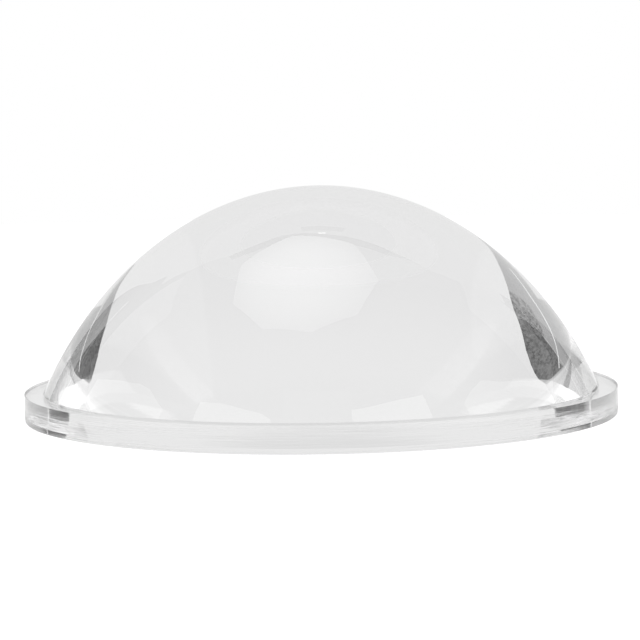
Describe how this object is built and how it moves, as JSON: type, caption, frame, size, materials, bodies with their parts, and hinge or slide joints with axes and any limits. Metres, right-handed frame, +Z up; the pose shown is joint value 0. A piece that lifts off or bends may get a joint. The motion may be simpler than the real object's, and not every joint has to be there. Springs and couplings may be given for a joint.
{
  "type": "flanged plano-convex lens",
  "caption": "Clear solid dome lens, flat underneath, with a thin round flange at its foot that seats in a holder and takes a retaining ring.",
  "frame": {"origin": "centre of the flat face that the lens rests on", "axes": "+Z up along the lens axis through the crown of the dome; the lens is round, so X and Y are free"},
  "size_m": [0.078, 0.078, 0.03],
  "materials": {
    "clear_glass": "clear, polished dome and flat face, as-moulded flange"
  },
  "bodies": {
    "root": {"lens": "clear_glass"}
  },
  "joints": []
}
